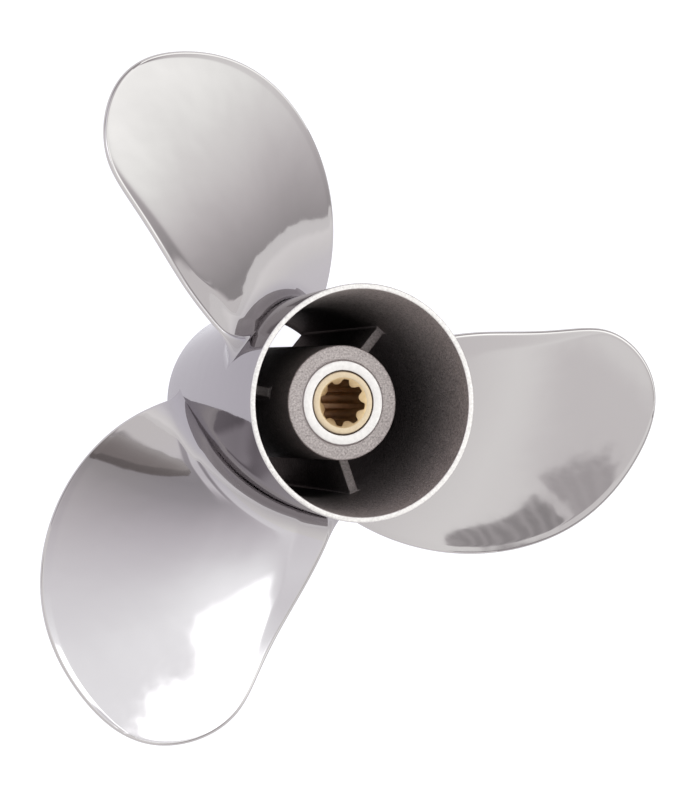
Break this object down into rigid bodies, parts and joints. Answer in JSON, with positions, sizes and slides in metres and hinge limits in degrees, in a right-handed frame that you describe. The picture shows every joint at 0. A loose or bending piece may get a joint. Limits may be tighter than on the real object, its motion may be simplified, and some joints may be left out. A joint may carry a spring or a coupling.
{
  "type": "outboard propeller",
  "caption": "Right-hand boat propeller cast in stainless steel: broad raked blades on a flared through-exhaust barrel, with a splined brass sleeve in a rubber bushing.",
  "frame": {"origin": "on the shaft axis, at the centre of the barrel's front end, on which the propeller stands", "axes": "+Z aft along the shaft axis, the way the exhaust leaves; +Y towards the tip of the first blade's trailing side, +X to the right of it seen from aft"},
  "size_m": [0.2002, 0.2114, 0.1],
  "materials": {
    "polished_steel": "mirror-polished stainless steel",
    "blasted_steel": "dark, matt as-cast stainless steel",
    "brass": "machined brass",
    "rubber": "matt black rubber"
  },
  "bodies": {
    "root": {"outer_barrel": "polished_steel", "blade_1": "polished_steel", "blade_2": "polished_steel", "blade_3": "polished_steel", "inner_barrel": "blasted_steel", "rib_1": "blasted_steel", "rib_2": "blasted_steel", "rib_3": "blasted_steel", "rubber_bushing": "rubber", "splined_sleeve": "brass"}
  },
  "joints": []
}
